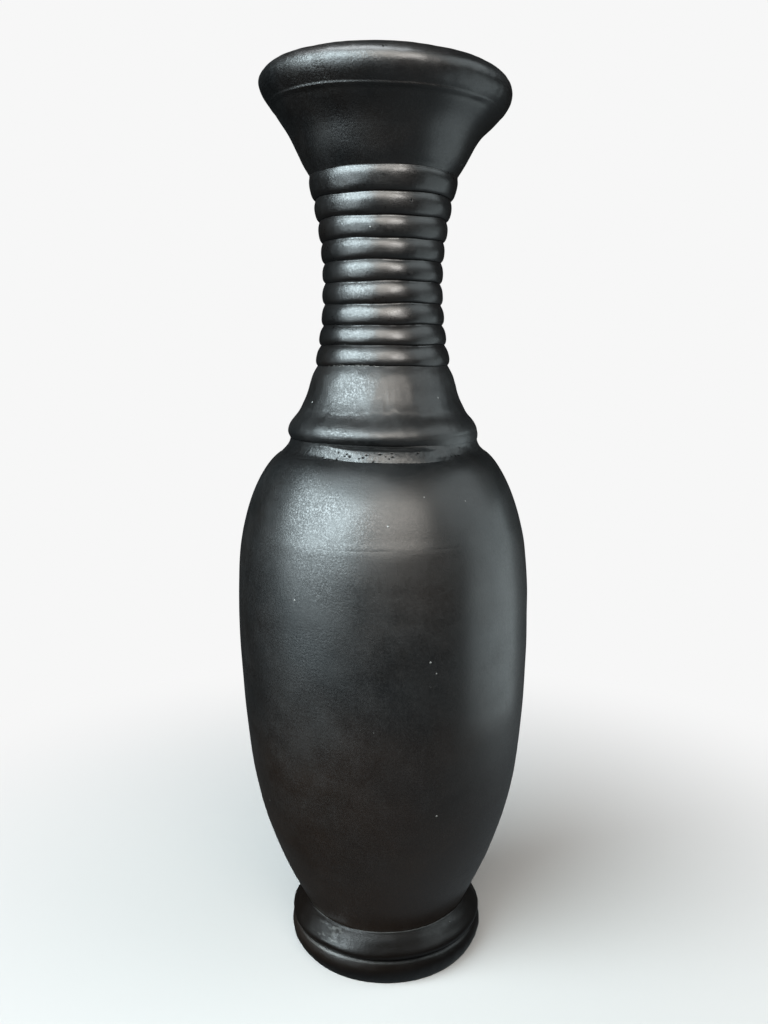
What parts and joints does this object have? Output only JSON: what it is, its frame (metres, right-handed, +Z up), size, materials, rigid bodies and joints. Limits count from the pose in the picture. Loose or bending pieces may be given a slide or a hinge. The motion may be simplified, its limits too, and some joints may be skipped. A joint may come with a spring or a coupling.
{
  "type": "tall clay vase",
  "caption": "Tall black burnished clay vase: moulded foot, egg-shaped body, beaded collar, ribbed waisted neck and flared mouth with a rolled lip.",
  "frame": {"origin": "centre of the foot, on the surface it stands on", "axes": "+Z up along the vase's axis, from the foot to the mouth; it is round, so X and Y are free"},
  "size_m": [0.1676, 0.1676, 0.5],
  "materials": {
    "burnished_clay": "burnished satin black",
    "ribbed_clay": "burnished satin black, ribbed",
    "pitted_clay": "matt black with open pits",
    "foot_clay": "lightly burnished black"
  },
  "bodies": {
    "root": {"foot_bead": "foot_clay", "foot_moulding": "foot_clay", "body": "burnished_clay", "shoulder": "burnished_clay", "seam_coil": "pitted_clay", "collar": "burnished_clay", "neck_ring_1": "ribbed_clay", "neck_ring_2": "ribbed_clay", "neck_ring_3": "ribbed_clay", "neck_ring_4": "ribbed_clay", "neck_ring_5": "ribbed_clay", "neck_ring_6": "ribbed_clay", "neck_ring_7": "ribbed_clay", "neck_ring_8": "ribbed_clay", "neck_ring_9": "ribbed_clay", "mouth_bell": "burnished_clay", "lip_coil": "burnished_clay"}
  },
  "joints": []
}
